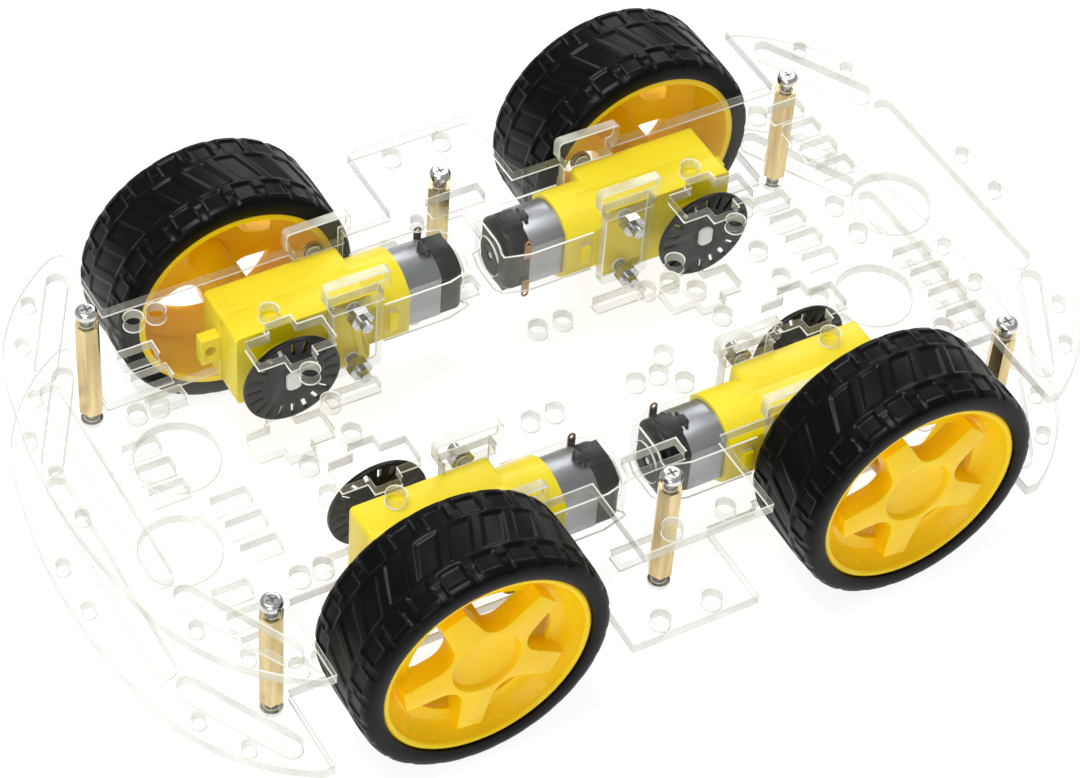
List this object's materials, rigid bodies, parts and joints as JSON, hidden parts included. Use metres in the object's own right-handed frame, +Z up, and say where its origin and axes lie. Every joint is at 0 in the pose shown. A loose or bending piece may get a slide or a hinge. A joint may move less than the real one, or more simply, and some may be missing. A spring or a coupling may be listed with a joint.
{
  "type": "four-wheel robot car chassis",
  "caption": "Robot car chassis with two clear horned plates on brass standoffs, gear motors hung on clear brackets, encoder discs and treaded wheels.",
  "frame": {"origin": "on the floor under the middle of the chassis", "axes": "+X along the length towards the front, +Y to the left, +Z up"},
  "size_m": [0.262, 0.158, 0.065],
  "materials": {
    "clear_acrylic": "polished clear acrylic sheet with bright cut edges",
    "brass": "bright turned brass",
    "screw_steel": "nickel plated",
    "nut_steel": "nickel plated",
    "terminal_copper": "bare copper strip",
    "axle_steel": "ground steel",
    "gearbox_yellow": "moulded plastic, slight gloss",
    "can_steel": "plated drawn steel",
    "black_plastic": "moulded plastic",
    "clear_strap": "clear moulded plastic",
    "rim_yellow": "moulded plastic, satin",
    "tyre_rubber": "satin rubber",
    "white_nylon": "moulded nylon",
    "disc_black": "moulded plastic"
  },
  "bodies": {
    "chassis": {"bottom_plate": "clear_acrylic", "bottom_screws": "screw_steel", "front_left_gearbox_case_inner": "gearbox_yellow", "front_left_gearbox_case_outer": "gearbox_yellow", "front_left_motor_can": "can_steel", "front_left_motor_end_cap": "black_plastic", "front_left_motor_strap": "clear_strap", "front_right_gearbox_case_inner": "gearbox_yellow", "front_right_gearbox_case_outer": "gearbox_yellow", "front_right_motor_can": "can_steel", "front_right_motor_end_cap": "black_plastic", "front_right_motor_strap": "clear_strap", "gear_axles": "axle_steel", "inner_brackets": "clear_acrylic", "motor_nuts": "nut_steel", "motor_screws": "screw_steel", "motor_terminals": "terminal_copper", "outer_brackets": "clear_acrylic", "rear_left_gearbox_case_inner": "gearbox_yellow", "rear_left_gearbox_case_outer": "gearbox_yellow", "rear_left_motor_can": "can_steel", "rear_left_motor_end_cap": "black_plastic", "rear_left_motor_strap": "clear_strap", "rear_right_gearbox_case_inner": "gearbox_yellow", "rear_right_gearbox_case_outer": "gearbox_yellow", "rear_right_motor_can": "can_steel", "rear_right_motor_end_cap": "black_plastic", "rear_right_motor_strap": "clear_strap", "standoffs": "brass", "top_plate": "clear_acrylic", "top_screws": "screw_steel"},
    "front_left_wheel": {"front_left_wheel_rim": "rim_yellow", "front_left_tyre": "tyre_rubber", "front_left_output_shaft": "white_nylon", "front_left_encoder_disc": "disc_black"},
    "front_left_idler": {"front_left_idler_gear": "white_nylon"},
    "front_left_crown": {"front_left_crown_gear": "white_nylon"},
    "front_left_armature": {"front_left_motor_armature": "axle_steel"},
    "front_right_wheel": {"front_right_wheel_rim": "rim_yellow", "front_right_tyre": "tyre_rubber", "front_right_output_shaft": "white_nylon", "front_right_encoder_disc": "disc_black"},
    "front_right_idler": {"front_right_idler_gear": "white_nylon"},
    "front_right_crown": {"front_right_crown_gear": "white_nylon"},
    "front_right_armature": {"front_right_motor_armature": "axle_steel"},
    "rear_left_wheel": {"rear_left_wheel_rim": "rim_yellow", "rear_left_tyre": "tyre_rubber", "rear_left_output_shaft": "white_nylon", "rear_left_encoder_disc": "disc_black"},
    "rear_left_idler": {"rear_left_idler_gear": "white_nylon"},
    "rear_left_crown": {"rear_left_crown_gear": "white_nylon"},
    "rear_left_armature": {"rear_left_motor_armature": "axle_steel"},
    "rear_right_wheel": {"rear_right_wheel_rim": "rim_yellow", "rear_right_tyre": "tyre_rubber", "rear_right_output_shaft": "white_nylon", "rear_right_encoder_disc": "disc_black"},
    "rear_right_idler": {"rear_right_idler_gear": "white_nylon"},
    "rear_right_crown": {"rear_right_crown_gear": "white_nylon"},
    "rear_right_armature": {"rear_right_motor_armature": "axle_steel"}
  },
  "joints": [
    {"name": "front_left_wheel_spin", "type": "hinge", "parent": "chassis", "child": "front_left_wheel", "pos_m": [0.059, 0.0396, 0.0325], "axis": [0, 1, 0], "continuous": true},
    {"name": "front_left_idler_spin", "type": "hinge", "parent": "chassis", "child": "front_left_idler", "pos_m": [0.049, 0.0396, 0.0325], "axis": [0, 1, 0], "continuous": true},
    {"name": "front_left_crown_spin", "type": "hinge", "parent": "chassis", "child": "front_left_crown", "pos_m": [0.041, 0.0396, 0.0325], "axis": [0, 1, 0], "continuous": true},
    {"name": "front_left_armature_spin", "type": "hinge", "parent": "chassis", "child": "front_left_armature", "pos_m": [0.041, 0.0396, 0.0325], "axis": [1, 0, 0], "continuous": true},
    {"name": "front_right_wheel_spin", "type": "hinge", "parent": "chassis", "child": "front_right_wheel", "pos_m": [0.059, -0.0396, 0.0325], "axis": [0, 1, 0], "continuous": true},
    {"name": "front_right_idler_spin", "type": "hinge", "parent": "chassis", "child": "front_right_idler", "pos_m": [0.049, -0.0396, 0.0325], "axis": [0, 1, 0], "continuous": true},
    {"name": "front_right_crown_spin", "type": "hinge", "parent": "chassis", "child": "front_right_crown", "pos_m": [0.041, -0.0396, 0.0325], "axis": [0, 1, 0], "continuous": true},
    {"name": "front_right_armature_spin", "type": "hinge", "parent": "chassis", "child": "front_right_armature", "pos_m": [0.041, -0.0396, 0.0325], "axis": [1, 0, 0], "continuous": true},
    {"name": "rear_left_wheel_spin", "type": "hinge", "parent": "chassis", "child": "rear_left_wheel", "pos_m": [-0.059, 0.0396, 0.0325], "axis": [0, 1, 0], "continuous": true},
    {"name": "rear_left_idler_spin", "type": "hinge", "parent": "chassis", "child": "rear_left_idler", "pos_m": [-0.049, 0.0396, 0.0325], "axis": [0, 1, 0], "continuous": true},
    {"name": "rear_left_crown_spin", "type": "hinge", "parent": "chassis", "child": "rear_left_crown", "pos_m": [-0.041, 0.0396, 0.0325], "axis": [0, 1, 0], "continuous": true},
    {"name": "rear_left_armature_spin", "type": "hinge", "parent": "chassis", "child": "rear_left_armature", "pos_m": [-0.041, 0.0396, 0.0325], "axis": [1, 0, 0], "continuous": true},
    {"name": "rear_right_wheel_spin", "type": "hinge", "parent": "chassis", "child": "rear_right_wheel", "pos_m": [-0.059, -0.0396, 0.0325], "axis": [0, 1, 0], "continuous": true},
    {"name": "rear_right_idler_spin", "type": "hinge", "parent": "chassis", "child": "rear_right_idler", "pos_m": [-0.049, -0.0396, 0.0325], "axis": [0, 1, 0], "continuous": true},
    {"name": "rear_right_crown_spin", "type": "hinge", "parent": "chassis", "child": "rear_right_crown", "pos_m": [-0.041, -0.0396, 0.0325], "axis": [0, 1, 0], "continuous": true},
    {"name": "rear_right_armature_spin", "type": "hinge", "parent": "chassis", "child": "rear_right_armature", "pos_m": [-0.041, -0.0396, 0.0325], "axis": [1, 0, 0], "continuous": true}
  ],
  "couplings": [
    {"joint": "front_left_idler_spin", "follows": "front_left_wheel_spin", "ratio": -4},
    {"joint": "front_left_crown_spin", "follows": "front_left_wheel_spin", "ratio": 16},
    {"joint": "front_left_armature_spin", "follows": "front_left_wheel_spin", "ratio": 48},
    {"joint": "front_right_idler_spin", "follows": "front_right_wheel_spin", "ratio": -4},
    {"joint": "front_right_crown_spin", "follows": "front_right_wheel_spin", "ratio": 16},
    {"joint": "front_right_armature_spin", "follows": "front_right_wheel_spin", "ratio": -48},
    {"joint": "rear_left_idler_spin", "follows": "rear_left_wheel_spin", "ratio": -4},
    {"joint": "rear_left_crown_spin", "follows": "rear_left_wheel_spin", "ratio": 16},
    {"joint": "rear_left_armature_spin", "follows": "rear_left_wheel_spin", "ratio": -48},
    {"joint": "rear_right_idler_spin", "follows": "rear_right_wheel_spin", "ratio": -4},
    {"joint": "rear_right_crown_spin", "follows": "rear_right_wheel_spin", "ratio": 16},
    {"joint": "rear_right_armature_spin", "follows": "rear_right_wheel_spin", "ratio": 48}
  ]
}
